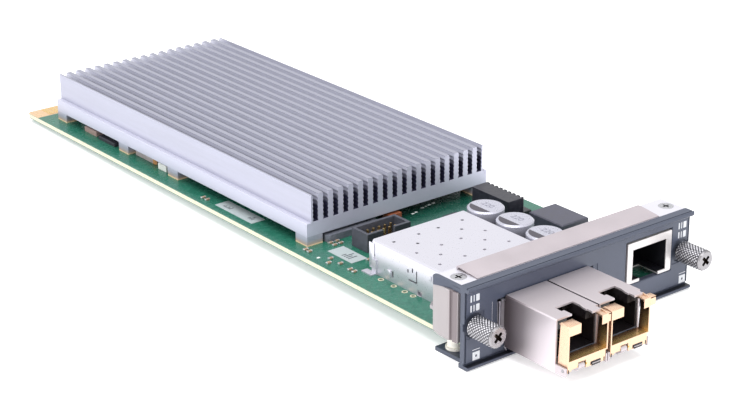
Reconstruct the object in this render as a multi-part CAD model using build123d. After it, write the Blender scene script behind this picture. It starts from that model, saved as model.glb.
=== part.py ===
from build123d import *
import os

# Intercom interface card: a plug-in circuit board with a finned heat sink, a metal front
# panel, two pull-out port modules in a cage, one fixed network jack and two captive
# thumbscrews. Millimetres. The origin lies on the panel's underside, at the middle of its
# width and on its front face. +X is to the right seen from the front, +Y runs back along
# the board, +Z is up.

# Front panel
panel_w = 78.0
panel_headroom = 6.7
panel_web = 1.5
lip_out = 1.5
top_lip_h = 1.35
bottom_lip_h = 0.95
groove_w = 0.3
groove_depth = 0.4
end_groove_inset = 0.3
knob_recess_r = 3.15
knob_recess_depth = 0.6
flange_t = 1.1
top_flange_back = 10.4
bottom_flange_back = 12.8
flange_inset = 1.9
end_wall_t = 0.9
end_wall_inset = 0.6
rim_depth = 1.7
label_t = 0.12
label_inset = 0.65

# Rail, gaskets and their screws
rail_t = 1.0
rail_end_gap = 0.4
gasket_t = 1.0
gasket_left_gap = 5.5
gasket_right_gap = 10.0
gasket_y0 = 1.75
gasket_y1 = 9.6
gasket_front_t = 0.3
side_gasket_lift = 0.6
screw_inset = 3.1
screw_y = 5.85
screw_head_r = 2.1
screw_r = 1.25

# Board
board_left_gap = 2.9
board_right_gap = 1.4
board_back = 218.4
board_t = 1.6
board_top = 5.8
board_gap = 0.3
contact_pitch = 2.5
contact_w = 1.9
contact_margin = 4.6
contact_len = 5.5
contact_t = 0.08
plated_hole_ys = [31.1, 34.5, 39.0, 44.3]
spacer_inset_left = 5.0
spacer_inset_right = 4.4
spacer_y = 9.1
spacer_r = 1.95
pan_head_r = 2.2
pan_head_h = 1.5

# Heat sink
sink_left_margin = 6.1
sink_right_margin = 6.0
sink_y0 = 73.6
sink_y1 = 206.8
fin_h = 8.05
base_t = 3.9
foot_h = 2.75
base_ledge = 1.45
slot_pitch = 3.45
slot_w = 1.9
first_slot = 0.6
slot_lift = 0.2
tooth_pitch = 1.2
tooth_depth = 0.18
foot_w = 5.25
foot_len = 5.3
foot_pad_t = 0.4
foot_ys = (sink_y0, 137.4, 164.8, sink_y1 - foot_len)
thread_r = 1.25
thread_clear = 0.2

# Cage for the port modules
cage_side_room = 1.65
cage_left_gap = 10.9
cage_back = 49.3
cage_front = 0.2
sheet = 0.35
vent_r = 0.5
vent_step_x = 4.2
vent_step_y = 4.64
vent_last_y = 44.4
vent_rows = 9
vent_shift = -0.9
bay_clear = 0.2
bay_lift = 0.15
opening_clear = 0.3
opening_headroom = 0.45
film_margin = 1.5

# Port modules
body_w = 13.5
body_h = 8.5
body_back = 36.5
head_gap = 0.3
head_h = 13.95
head_bottom = 2.6
head_front = -18.5
head_back = -0.5
shell_t = 0.5
notch_back = 5.3
notch_neck = 2.9
ear_reach = 3.7
ear_h = 2.3
pin_r = 0.45
pin_clear = 0.05
pin_rise = 1.4
bail_t = 0.4
bail_inset = 0.2
bail_depth = 3.5
bail_top = 15.55
bail_lip = 2.45
bail_shelf_rise = 3.8
bail_step = 0.7
bail_tab_left = 4.1
bail_tab_right = 2.2
port_w = 11.8
port_h = 7.0
port_depth = 12.0
port_floor = 3.45
wire_pitch = 1.02
wire_rise = 2.0
tongue_t = 1.0
tongue_w = 9.2

# Network jack
jack_inset = 15.0
jack_w = 16.1
jack_lift = 1.1
jack_h = 11.45
jack_front = -0.4
jack_depth = 16.0
jack_mouth_w = 12.2
jack_sill = 0.85
jack_mouth_h = 8.45
jack_clear = 0.3
jack_leg_y = 9.0
jack_sheet = 0.4

# Captive thumbscrews
knob_inset = 3.0
knob_lift = 0.2
knob_r = 2.78
knob_len = 8.5
knob_gap = 0.5
shaft_r = 1.25
shaft_len = 15.0
thread_len = 4.4
relief_len = 0.5
shaft_clear = 0.08
screw_travel = 6.0
ring_t = 0.8
ring_r = 1.9

# Parts on the board
can_r = 5.15
can_h = 9.0
can_gap = 0.45
can_y = 23.4
can_pitch = 11.8
can_base_t = 1.0
header_w = 15.0
header_d = 7.0
header_h = 5.4
header_shift = -1.7
header_y = 63.4
pin_pitch = 2.0

module_names = ("left", "right")
module_pitch = body_w + sheet + 2 * bay_clear
head_w = module_pitch - head_gap
cage_w = 2 * module_pitch + 2 * cage_side_room
cage_cx = -panel_w / 2 + cage_left_gap + cage_w / 2
cage_top = board_top + body_h + 2 * sheet + 2 * bay_lift
module_x = {"left": cage_cx - module_pitch / 2, "right": cage_cx + module_pitch / 2}
panel_h = cage_top + panel_headroom
flange_top = panel_h - rail_t
board_x0 = -panel_w / 2 + board_left_gap
board_x1 = panel_w / 2 - board_right_gap
board_bottom = board_top - board_t
board_front = panel_web + board_gap
gasket_x0 = -panel_w / 2 + gasket_left_gap
gasket_x1 = panel_w / 2 - gasket_right_gap
side_gasket_z0 = board_top + side_gasket_lift
screw_x = panel_w / 2 - screw_inset
spacer_x = {-1: spacer_inset_left - panel_w / 2, 1: panel_w / 2 - spacer_inset_right}
sink_x0 = board_x0 + sink_left_margin
sink_x1 = board_x1 - sink_right_margin
base_bottom = board_top + foot_h
base_top = base_bottom + base_t
sink_top = base_top + fin_h
slot_floor = base_top + slot_lift
jack_cx = panel_w / 2 - jack_inset
jack_z0 = board_top + jack_lift
jack_z1 = jack_z0 + jack_h
jack_mouth_z0 = jack_z0 + jack_sill
jack_mouth_z1 = jack_mouth_z0 + jack_mouth_h
knob_x = panel_w / 2 - knob_inset
knob_z = panel_h / 2 + knob_lift
can_x = cage_cx + cage_w / 2 + can_gap + can_r
header_x = cage_cx + header_shift


def block(x0, x1, y0, y1, z0, z1):
    middle = Pos((x0 + x1) / 2, (y0 + y1) / 2, (z0 + z1) / 2)
    return middle * Box(x1 - x0, y1 - y0, z1 - z0)


def rod_y(x, z, y0, y1, r):
    return Pos(x, (y0 + y1) / 2, z) * Rot(90, 0, 0) * Cylinder(r, y1 - y0)


def rod_x(y, z, x0, x1, r):
    return Pos((x0 + x1) / 2, y, z) * Rot(0, 90, 0) * Cylinder(r, x1 - x0)


def rod_z(x, y, z0, z1, r):
    return Pos(x, y, (z0 + z1) / 2) * Cylinder(r, z1 - z0)


def prism_x(points, x0, x1):
    # A side outline given as (y, z) points, run along X.
    face = make_face(Polyline(*[(x0, y, z) for y, z in points], close=True))
    return extrude(face, x1 - x0, dir=(1, 0, 0))


def prism_y(points, y0, y1):
    # A front outline given as (x, z) points, run along Y.
    face = make_face(Polyline(*[(x, y0, z) for x, z in points], close=True))
    return extrude(face, y1 - y0, dir=(0, 1, 0))


def prism_z(points, z0, z1):
    # A plan outline given as (x, y) points, run along Z.
    face = make_face(Polyline(*[(x, y, z0) for x, y in points], close=True))
    return extrude(face, z1 - z0, dir=(0, 0, 1))


def save(shape, node):
    export_step(shape, "parts/" + node + ".step")


def group(solids):
    return Compound(children=list(solids))


# The folded front panel: one extruded section with lips, grooves and two rear flanges.
def front_panel():
    half = panel_w / 2
    low_nose = bottom_lip_h
    top_lip = panel_h - top_lip_h
    nose = lip_out
    tip = 0.35
    top_groove = -nose + 0.45
    section = [
        (-nose + tip, 0), (bottom_flange_back, 0), (bottom_flange_back, flange_t),
        (panel_web, flange_t), (panel_web, flange_top - flange_t),
        (top_flange_back, flange_top - flange_t), (top_flange_back, flange_top),
        (rim_depth, flange_top), (rim_depth, panel_h),
        (top_groove + groove_w, panel_h), (top_groove + groove_w, panel_h - groove_depth),
        (top_groove, panel_h - groove_depth), (top_groove, panel_h), (-nose + 0.15, panel_h),
        (-nose, panel_h - tip), (-nose, top_lip + tip), (-nose + tip, top_lip), (0, top_lip),
        (0, low_nose + groove_w * 2), (groove_depth, low_nose + groove_w * 2),
        (groove_depth, low_nose), (-nose + 0.2, low_nose), (-nose, low_nose - 0.2), (-nose, tip),
    ]
    panel = prism_x(section, -half, half)
    for side in (-1, 1):
        outer = side * (half - end_wall_inset)
        inner = side * (half - end_wall_inset - end_wall_t)
        wall = block(min(outer, inner), max(outer, inner), panel_web - 0.2,
                     top_flange_back - 0.4, side_gasket_z0, flange_top - flange_t + 0.2)
        panel += wall
        root = side * (half - flange_inset)
        corner = [(side * half, panel_web + 0.5), (side * half, bottom_flange_back),
                  (root + side * 0.2, bottom_flange_back), (root, panel_web + 0.5)]
        panel -= prism_z(corner, -0.5, flange_t + 0.5)
    panel += ear()
    low = board_top - 0.6
    panel -= block(cage_cx - cage_w / 2 - opening_clear, cage_cx + cage_w / 2 + opening_clear,
                   -1, panel_web + 1, low, cage_top + opening_headroom)
    panel -= block(jack_cx - jack_w / 2 - jack_clear, jack_cx + jack_w / 2 + jack_clear,
                   -1, panel_web + 1, jack_z0 - jack_clear, jack_z1 + jack_clear)
    for side in (-1, 1):
        panel -= rod_y(side * knob_x, knob_z, -1, panel_web + 1, shaft_r + shaft_clear)
        panel -= rod_y(side * knob_x, knob_z, -1, knob_recess_depth, knob_recess_r)
        rim = side * (half - end_groove_inset)
        inside = side * (half - end_groove_inset - groove_w)
        panel -= block(min(rim, inside), max(rim, inside), -1, groove_depth, low_nose, top_lip)
        window = ring_r + 0.5
        panel -= block(side * knob_x - window, side * knob_x + window, panel_web,
                       top_flange_back, knob_z - window, knob_z + window)
        panel -= rod_z(side * screw_x, screw_y, flange_top - 3, flange_top + 1, screw_r)
        panel -= rod_z(spacer_x[side], spacer_y, -1, flange_t + 1, thread_r)
    return panel


# The hooked ear at the panel's left end, curving round the countersunk screw.
def ear():
    half = panel_w / 2
    inner = -half + rail_end_gap
    tip = (-half - 1.6, 9.7)
    outside = ThreePointArc((-half, 1.0), (-half - 0.2, 6.0), tip)
    end = ThreePointArc(tip, (-half - 1.0, 10.6), (-half + 0.2, 10.8))
    back = Polyline((-half + 0.2, 10.8), (inner, top_flange_back), (inner, 1.0), (-half, 1.0))
    face = make_face([*outside.edges(), *end.edges(), *back.edges()])
    return Pos(0, 0, flange_top - flange_t) * extrude(face, rail_t + flange_t, dir=(0, 0, 1))


# The printed film on the panel's face, cut round every opening.
def face_label():
    half = panel_w / 2 - label_inset
    low = bottom_lip_h + 2 * groove_w + 0.05
    high = panel_h - top_lip_h - 0.15
    round_knob = knob_recess_r + 0.1
    film = block(-half, half, -label_t, 0, low, high)
    edge = opening_clear + film_margin
    film -= block(cage_cx - cage_w / 2 - edge, cage_cx + cage_w / 2 + edge, -1, 1,
                  low - 1, cage_top + opening_headroom + 0.3)
    film -= block(jack_cx - jack_w / 2 - 0.5, jack_cx + jack_w / 2 + 0.5, -1, 1,
                  jack_z0 - 0.5, jack_z1 + 0.5)
    for side in (-1, 1):
        end = side * (half + 1)
        inner = side * (knob_x - round_knob)
        film -= block(min(end, inner), max(end, inner), -1, 1,
                      knob_z - round_knob, knob_z + round_knob)
    return film


def top_rail():
    half = panel_w / 2 - rail_end_gap
    rail = block(-half + 0.1, half, rim_depth, top_flange_back, flange_top, panel_h)
    for side in (-1, 1):
        sink = Cone(screw_r, screw_head_r, screw_head_r - screw_r)
        rail -= Pos(side * screw_x, screw_y, panel_h - (screw_head_r - screw_r) / 2) * sink
        rail -= rod_z(side * screw_x, screw_y, flange_top - 1, panel_h + 1, screw_r)
    return rail


def top_gasket():
    # A flat sleeve of cloth, thin at its front edge and rising to a rounded back edge.
    low = panel_h
    front = panel_h + gasket_front_t
    high = panel_h + gasket_t
    section = [(gasket_y0, low), (gasket_y1 - 0.3, low), (gasket_y1, low + 0.3),
               (gasket_y1, high - 0.35), (gasket_y1 - 0.35, high), (gasket_y1 - 1.2, high),
               (gasket_y0, front)]
    hollow = [(gasket_y0 + 1.6, low + 0.13), (gasket_y1 - 0.6, low + 0.13),
              (gasket_y1 - 0.6, high - 0.4), (gasket_y1 - 1.2, high - 0.32)]
    sleeve = prism_x(section, gasket_x0, gasket_x1)
    return sleeve - prism_x(hollow, gasket_x0 - 1, gasket_x1 + 1)


# Conductive cloth folded over foam, standing against the panel's left end wall.
def side_gasket():
    wall = -panel_w / 2 + end_wall_inset
    outline = [
        (wall, 2.1), (wall, 11.2), (wall - 0.5, 11.9), (wall - 1.3, 9.0), (wall - 1.5, 5.3),
        (wall - 1.2, 4.8), (wall - 0.7, 4.6), (wall - 0.7, 4.2), (wall - 1.2, 3.8),
        (wall - 1.0, 2.1),
    ]
    return prism_z(outline, side_gasket_z0, flange_top - flange_t)


# Countersunk screw that ties the rail to the panel's flange.
def top_screw(side):
    cone_h = screw_head_r - screw_r
    head = Cone(screw_r, screw_head_r, cone_h)
    screw = Pos(side * screw_x, screw_y, panel_h - cone_h / 2) * head
    screw += rod_z(side * screw_x, screw_y, flange_top - flange_t, panel_h - cone_h, screw_r)
    for turn in (0, 90):
        bar = Rot(0, 0, turn) * Box(2.2, 0.5, 1.0)
        screw -= Pos(side * screw_x, screw_y, panel_h) * bar
    return screw


def board_spacer(side):
    x = spacer_x[side]
    tube = rod_z(x, spacer_y, flange_t, board_bottom, spacer_r)
    tube += rod_z(x, spacer_y, flange_t, flange_t + 0.6, spacer_r + 0.45)
    return tube - rod_z(x, spacer_y, flange_t - 1, board_bottom + 1, thread_r + thread_clear)


def pan_screw(x, y, z_seat, length, up):
    # A pan-head screw whose head lies above the seat (up = 1) or below it (up = -1).
    head_end = z_seat + up * pan_head_h
    tip = z_seat - up * length
    screw = rod_z(x, y, min(z_seat, head_end), max(z_seat, head_end), pan_head_r)
    rim = screw.edges().filter_by(GeomType.CIRCLE).sort_by(Axis.Z)[-1 if up > 0 else 0]
    screw = chamfer(rim, 0.5)
    return screw + rod_z(x, y, min(z_seat, tip), max(z_seat, tip), thread_r)


def foot_centres():
    left = sink_x0 - base_ledge + foot_w / 2
    right = sink_x1 + base_ledge - foot_w / 2
    return [(x, y + foot_len / 2) for x in (left, right) for y in foot_ys]


def screwed_feet():
    # Only the four corner feet take a screw; the middle ones just stand on their pads.
    ys = [min(foot_ys) + foot_len / 2, max(foot_ys) + foot_len / 2]
    return [(x, y) for x, y in foot_centres() if y in ys]


# The bare board with its edge steps, screw holes and the row of plated holes by the cage.
def main_board():
    board = block(board_x0, board_x1, board_front, board_back, board_bottom, board_top)
    board = chamfer(board.edges().filter_by(Axis.Z), 0.8)
    for side in (-1, 1):
        board -= rod_z(spacer_x[side], spacer_y, 0, board_top + 1, thread_r + thread_clear)
    for x, y in screwed_feet():
        board -= rod_z(x, y, 0, board_top + 1, thread_r + thread_clear)
    for y in plated_hole_ys:
        board -= rod_z(cage_cx - cage_w / 2 - 1.2, y, 0, board_top + 1, 0.5)
    for x in cage_leg_x():
        for y in cage_leg_y():
            board -= block(x - 0.35, x + 0.35, y - 0.75, y + 0.75, 0, board_top + 1)
    for x in jack_leg_x():
        board -= block(x - 0.35, x + 0.35, jack_leg_y - 0.2, jack_leg_y + 1.4, 0, board_top + 1)
    return board


def edge_contact_row():
    contact_count = int((board_x1 - board_x0 - 2 * contact_margin) / contact_pitch) + 1
    first = (board_x0 + board_x1) / 2 - contact_pitch * (contact_count - 1) / 2
    pads = []
    for i in range(contact_count):
        x = first + i * contact_pitch
        for z0 in (board_top, board_bottom - contact_t):
            pads.append(block(x - contact_w / 2, x + contact_w / 2,
                              board_back - 0.5 - contact_len, board_back - 0.5,
                              z0, z0 + contact_t))
    return group(pads)


# Extruded heat sink: one toothed comb outline run along the card, with milled feet below.
def heatsink():
    outline = [(sink_x0 - base_ledge, base_bottom), (sink_x1 + base_ledge, base_bottom),
               (sink_x1 + base_ledge, base_top), (sink_x1, base_top), (sink_x1, sink_top)]
    teeth = int((sink_top - slot_floor - 0.6) / tooth_pitch)
    slot_count = int((sink_x1 - sink_x0 - first_slot - slot_w) / slot_pitch) + 1
    for i in reversed(range(slot_count)):
        left = sink_x0 + first_slot + i * slot_pitch
        right = left + slot_w
        outline.append((right, sink_top))
        for k in reversed(range(teeth)):
            z = slot_floor + 0.6 + k * tooth_pitch
            outline.append((right, z + tooth_pitch * 0.75))
            outline.append((right - tooth_depth, z + tooth_pitch * 0.25))
        outline.append((right, slot_floor))
        outline.append((left, slot_floor))
        for k in range(teeth):
            z = slot_floor + 0.6 + k * tooth_pitch
            outline.append((left + tooth_depth, z + tooth_pitch * 0.25))
            outline.append((left, z + tooth_pitch * 0.75))
        outline.append((left, sink_top))
    outline += [(sink_x0, sink_top), (sink_x0, base_top), (sink_x0 - base_ledge, base_top)]
    sink = prism_y(outline, sink_y0, sink_y1)
    for x, y in foot_centres():
        sink += block(x - foot_w / 2, x + foot_w / 2, y - foot_len / 2, y + foot_len / 2,
                      board_top + foot_pad_t, base_bottom + 0.1)
    for x, y in screwed_feet():
        sink -= rod_z(x, y, board_top, base_bottom + 2.0, thread_r)
    return sink


def foot_pads():
    pads = []
    for x, y in foot_centres():
        pad = block(x - foot_w / 2, x + foot_w / 2, y - foot_len / 2, y + foot_len / 2,
                    board_top, board_top + foot_pad_t)
        if (x, y) in screwed_feet():
            pad -= rod_z(x, y, 0, 20, thread_r + thread_clear)
        pads.append(pad)
    return group(pads)


def heatsink_screws():
    length = board_t + foot_pad_t + base_bottom - board_top + 1.0
    return group(pan_screw(x, y, board_bottom, length, -1) for x, y in screwed_feet())


# Chips under the heat sink, each with a soft pad up to the sink's base.
def chip(x, y, w, d, h):
    body = block(x - w / 2, x + w / 2, y - d / 2, y + d / 2, board_top, board_top + h)
    return chamfer(body.edges().group_by(Axis.Z)[-1], 0.15)


def pad_over(x, y, w, d, h):
    return block(x - w / 2, x + w / 2, y - d / 2, y + d / 2, board_top + h, base_bottom)


def under_sink():
    mid_x = (sink_x0 + sink_x1) / 2
    mid_y = (sink_y0 + sink_y1) / 2
    die = 27.0
    processor = (mid_x + 2.2, mid_y + 11.8, die, die, 1.9)
    network = (mid_x - 4.8, mid_y - 39.2, 17.0, 17.0, 1.5)
    beside = die / 2 + 5.7
    memories = [(mid_x + 2.2 + side * beside, mid_y + 11.8 + row * 9.0, 10.5, 13.0, 1.2)
                for side in (-1, 1) for row in (-1, 1)]
    save(chip(*processor), "processor")
    save(chip(*network), "network_chip")
    save(group(chip(*m) for m in memories), "memory_chips")
    pads = [pad_over(x, y, w - 3, d - 3, h) for x, y, w, d, h in [processor, network, *memories]]
    save(group(pads), "thermal_pads")


# Low parts that show under the heat sink's left edge.
def power_choke():
    x0 = board_x0 + 6.5
    core = block(x0, x0 + 7.2, 152.2, 164.0, board_top, base_bottom - 0.3)
    return chamfer(core.edges().filter_by(Axis.Z), 0.6)


def jack_leg_x():
    return (jack_cx - jack_w / 2 + 0.2, jack_cx + jack_w / 2 - 0.2)


def cage_leg_x():
    return (cage_cx - cage_w / 2 + sheet / 2, cage_cx + cage_w / 2 - sheet / 2)


def cage_leg_y():
    return (9.0, 22.0, 47.0)


# The pierced sheet cage: roof, two sides, back and a floor that stops before the sockets.
def sfp_cage():
    x0 = cage_cx - cage_w / 2
    x1 = cage_cx + cage_w / 2
    cage = block(x0, x1, cage_front, cage_back, board_top, cage_top)
    cage = fillet(cage.edges().filter_by(Axis.Y).group_by(Axis.Z)[-1], 0.6)
    cage -= block(x0 + sheet, x1 - sheet, cage_front - 1, cage_back - sheet,
                  board_top + sheet, cage_top - sheet)
    cage -= block(x0 + sheet, x1 - sheet, body_back - 1.5, cage_back - sheet,
                  board_top - 1, board_top + 1)
    vent = extrude(RegularPolygon(vent_r, 8), 2)
    vents = []
    for row in range(vent_rows):
        columns = (-2, 0, 1, 3) if row % 2 == 0 else (-1, 2)
        for column in columns:
            x = cage_cx + vent_shift + (column - 0.5) * vent_step_x
            x += 1.25 if column > 0 else -1.25
            vents.append(Pos(x, vent_last_y - row * vent_step_y, cage_top - 1) * vent)
    cage -= vents
    for x in cage_leg_x():
        for y in cage_leg_y():
            cage += block(x - sheet / 2, x + sheet / 2, y - 0.5, y + 0.5,
                          board_bottom - 0.8, board_top + 0.5)
    for x in (x0, x1):
        for y in (18.0, 31.0):
            cage -= block(x - 1, x + 1, y, y + 0.4, board_top + 3.0, board_top + 6.5)
            cage -= block(x - 1, x + 1, y, y + 3.4, board_top + 3.0, board_top + 3.4)
    return cage


def cage_divider():
    return block(cage_cx - sheet / 2, cage_cx + sheet / 2, cage_front + 0.3,
                 body_back - 2.0, board_top + sheet, cage_top - sheet)


# Sprung side guides that take up the room between a module and the cage's outer wall.
def cage_guides():
    gap = cage_w / 2 - sheet - module_pitch / 2 - body_w / 2 - bay_clear
    guides = []
    for side in (-1, 1):
        wall = cage_cx + side * (cage_w / 2 - sheet)
        inner = wall - side * gap
        low = board_top + sheet + 0.6
        high = cage_top - sheet - 0.6
        bar = block(min(wall, inner), max(wall, inner), cage_front + 1.0, body_back, low, high)
        hollow = wall - side * 0.0
        shelf = inner + side * sheet
        bar -= block(min(hollow, shelf), max(hollow, shelf), cage_front, body_back + 1,
                     low + sheet, high - sheet)
        guides.append(bar)
    return group(guides)


# A spring collar round the cage's mouth that closes the gap to the panel.
def cage_collar():
    x0 = cage_cx - cage_w / 2
    x1 = cage_cx + cage_w / 2
    y0 = panel_web + 0.3
    outer = block(x0 - 0.75, x1 + 0.75, y0, y0 + 4.2, board_top, cage_top + 0.75)
    collar = outer - block(x0, x1, 0, y0 + 5, board_top - 1, cage_top)
    for i in range(9):
        x = x0 + 1.6 + i * 3.5
        collar -= block(x, x + 0.5, y0 + 0.8, y0 + 5, cage_top, cage_top + 2)
    return collar


def cage_tab():
    # The folded ground tab at the cage's back left corner.
    x0 = cage_cx - cage_w / 2
    foot = block(x0 - 2.0, x0, 47.4, 51.6, board_top, board_top + 0.4)
    wall = block(x0 - 0.4, x0, 47.4, 49.2, board_top, board_top + 4.2)
    return foot + wall


# Sockets on the board that the modules' edge tongues enter.
def host_connector(x):
    z_mid = board_top + sheet + bay_lift + body_h / 2
    shell = block(x - 5.6, x + 5.6, body_back + 1.4, cage_back - sheet - 0.5,
                  board_top, z_mid + 2.2)
    slot = block(x - tongue_w / 2 - 0.2, x + tongue_w / 2 + 0.2, body_back, body_back + 7.2,
                 z_mid - tongue_t / 2 - 0.15, z_mid + tongue_t / 2 + 0.15)
    return shell - slot


def module_z():
    low = board_top + sheet + bay_lift
    return low, low + body_h


# The module's metal shell: a slim tube in the cage and a taller open head in front.
def module_shell(x):
    z0, z1 = module_z()
    head_top = head_bottom + head_h
    half = head_w / 2
    shell = block(x - body_w / 2, x + body_w / 2, head_back - 0.5, body_back, z0, z1)
    shell += block(x - half, x + half, head_front, head_back, head_bottom, head_top)
    shell = chamfer(shell.edges().filter_by(Axis.Y).group_by(Axis.Z)[-1], 0.3)
    inner_z0 = z0 + shell_t
    inner_z1 = z1 - shell_t
    shell -= block(x - body_w / 2 + shell_t, x + body_w / 2 - shell_t, head_back - 2,
                   body_back - shell_t, inner_z0, inner_z1)
    shell -= block(x - half + shell_t, x + half - shell_t, head_front - 1, head_back - shell_t,
                   head_bottom + shell_t, head_top - shell_t)
    mid = (z0 + z1) / 2
    shell -= block(x - tongue_w / 2 - 0.6, x + tongue_w / 2 + 0.6, body_back - 1,
                   body_back + 1, mid - 1.2, mid + 1.2)
    shell -= notch(x, head_top)
    for side in (-1, 1):
        outer = x + side * half
        inner = x + side * (half - shell_t)
        shell += block(min(outer, inner), max(outer, inner), head_front - ear_reach,
                       head_front + 1, head_bottom, head_bottom + ear_h)
    shell += bail_lug(x)
    shell += shade_tab(x, head_top)
    shell -= rod_x(pin_y(), pin_z(), x - half - 1, x + half + 1, pin_r + 0.02)
    return shell


def notch(x, top):
    # The stepped cut in the head's roof that clears a plug's catch.
    left = x - head_w / 2
    y_front = head_front - 0.1
    cut = [(left + 5.2, y_front), (left + 9.8, y_front), (left + 9.8, y_front + 1.2),
           (left + 10.3, y_front + notch_neck), (left + 10.3, y_front + notch_back),
           (left + 4.4, y_front + notch_back), (left + 4.4, y_front + notch_neck),
           (left + 5.2, y_front + notch_neck)]
    return prism_z(cut, top - shell_t - 0.2, top + 1)


def shade_tab(x, top):
    left = x - head_w / 2
    tab = block(left + 10.0, left + 12.8, head_front - 2.0, head_front + 0.2, top - shell_t, top)
    return tab + block(left + 10.0, left + 12.8, head_front - 2.0, head_front - 1.6, top - 0.6, top)


def bail_lug(x):
    # The shell's own knuckle that carries the middle of the hinge pin.
    lug = rod_x(pin_y(), pin_z(), x - 2.5, x - 0.5, pin_r + 0.55)
    arm = block(x - 2.5, x - 0.5, pin_y(), head_front + 0.6, head_bottom, head_bottom + 0.8)
    return lug + arm


def pin_y():
    return head_front - ear_reach + 1.0


def pin_z():
    return head_bottom + pin_rise


# The moulded socket in the module's head, with its catch slot at the top.
def module_insert(x):
    half = head_w / 2 - shell_t - 0.05
    low = head_bottom + shell_t
    high = head_bottom + head_h - shell_t
    y0 = head_front + 0.4
    insert = block(x - half, x + half, y0, head_back - shell_t - 0.1, low, high)
    floor_z = low + port_floor
    insert -= block(x - port_w / 2, x + port_w / 2, y0 - 1, y0 + port_depth,
                    floor_z, floor_z + port_h)
    insert -= block(x - 3.1, x + 3.1, y0 - 1, y0 + 7.0, floor_z + 1, high + 1)
    insert -= block(x - 2.0, x + 2.0, y0 - 1, y0 + 9.0, floor_z + 1, high - 0.8)
    insert -= block(x - half - 1, x + half + 1, y0 - 1, y0 + 0.6, low - 1, floor_z - 0.4)
    insert -= block(x - tongue_w / 2 - 0.4, x + tongue_w / 2 + 0.4, head_back - 3.5, head_back,
                    tongue_z() - 0.7, tongue_z() + 0.7)
    return insert


def tongue_z():
    z0, z1 = module_z()
    return (z0 + z1) / 2


def port_contacts(x, y0, y1, z, rise):
    # Eight sprung wires, each leaving the socket's floor or roof and sloping to its back.
    wires = []
    for i in range(8):
        wx = x + (i - 3.5) * wire_pitch
        path = [(y0, z), (y0 + 0.5, z), (y1, z + 0.85 * rise), (y1, z + rise)]
        wires.append(prism_x(path, wx - 0.16, wx + 0.16))
    return group(wires)


def module_board(x):
    mid = tongue_z()
    board = block(x - tongue_w / 2, x + tongue_w / 2, head_back - 3.2, body_back + 6.6,
                  mid - tongue_t / 2, mid + tongue_t / 2)
    return board


# The folded spring-sheet bail: two arms, a floor strip, corner caps and turned-down lips.
# Its right arm steps out past the shell's ear above the floor strip, as the sheet is folded.
def bail(x):
    half = head_w / 2 - shell_t - bail_inset
    wing = half + bail_step
    y_back = head_front - 0.2
    y_front = y_back - bail_depth
    foot = pin_z() - 0.75
    shelf_z = head_bottom + bail_shelf_rise
    crown = [(y_back - 0.7, bail_top + 0.4), (y_front, bail_top)]
    ankle = [(y_front, foot + 0.3), (y_front + 0.5, foot), (y_back - 0.5, foot),
             (y_back, foot + 0.3)]
    frame = prism_x(crown + ankle, x - half, x - half + bail_t)
    frame += prism_x([(y_back, shelf_z), (y_front, shelf_z)] + ankle,
                     x + half - bail_t, x + half)
    frame += prism_x(crown + [(y_front, shelf_z - bail_t), (y_back - 0.1, shelf_z - bail_t)],
                     x + wing - bail_t, x + wing)
    frame += block(x - half, x + wing, y_front, y_back - 0.1, shelf_z - bail_t, shelf_z)
    lip_back = y_front + bail_t
    frame += block(x - half, x + half, y_front, lip_back, shelf_z - 1.0, shelf_z)
    frame += block(x - half, x - 2.8, y_front, lip_back, pin_z() + 0.1, shelf_z)
    frame += block(x - 0.2, x + half, y_front, lip_back, foot, shelf_z)
    frame -= block(x + 2.3, x + 4.4, y_front - 1, lip_back, pin_z() - 0.35, pin_z())
    for x0, x1 in ((x - half, x - half + bail_tab_left), (x + wing - bail_tab_right, x + wing)):
        frame += block(x0, x1, y_front, y_back - 1.0, bail_top - bail_t, bail_top)
        frame += block(x0, x1, y_front, lip_back, bail_top - bail_lip, bail_top)
    for x0, x1 in ((x - half, x - half + 1.5), (x + half - 1.5, x + half)):
        frame += rod_x(pin_y(), pin_z(), x0, x1, pin_r + 0.4)
        frame += block(x0, x1, pin_y() - 0.2, pin_y() + 0.2, pin_z(), shelf_z)
    return frame - rod_x(pin_y(), pin_z(), x - half - 1, x + half + 1, pin_r + pin_clear)


def bail_pin(x):
    half = head_w / 2
    return rod_x(pin_y(), pin_z(), x - half, x + half, pin_r)


# The fixed network jack: a drawn shield with a wide front frame and a moulded core.
def jack_shell():
    x0 = jack_cx - jack_w / 2
    x1 = jack_cx + jack_w / 2
    shell = block(x0, x1, jack_front, jack_front + jack_depth, jack_z0, jack_z1)
    shell = chamfer(shell.edges().filter_by(Axis.Y), 0.25)
    t = jack_sheet
    shell -= block(x0 + t, x1 - t, jack_front + t, jack_front + jack_depth + 1,
                   jack_z0 + t, jack_z1 - t)
    shell -= jack_mouth()
    shell -= block(jack_cx - 5.7, jack_cx + 5.7, jack_front + jack_depth - 3.2,
                   jack_front + jack_depth + 1, jack_z0 - 1, jack_z0 + 1)
    for x in jack_leg_x():
        shell += block(x - t / 2, x + t / 2, jack_leg_y, jack_leg_y + 1.2,
                       board_bottom - 0.8, jack_z0 + 1)
    return shell


def jack_mouth():
    half = jack_mouth_w / 2
    cut = block(jack_cx - half, jack_cx + half, jack_front - 1, jack_front + 13,
                jack_mouth_z0, jack_mouth_z1)
    cut += block(jack_cx - 3.4, jack_cx + 3.4, jack_front - 1, jack_front + 7,
                 jack_z0 - 0.1, jack_mouth_z0 + 1)
    return cut


def jack_insert():
    t = jack_sheet
    x0 = jack_cx - jack_w / 2 + t + 0.05
    x1 = jack_cx + jack_w / 2 - t - 0.05
    core = block(x0, x1, jack_front + t + 0.05, jack_front + jack_depth,
                 jack_z0 + t + 0.05, jack_z1 - t - 0.05)
    core -= jack_mouth()
    core += block(jack_cx - 5.5, jack_cx + 5.5, jack_front + jack_depth - 3,
                  jack_front + jack_depth - 1, board_top, jack_z0 + 1.5)
    return core


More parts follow.
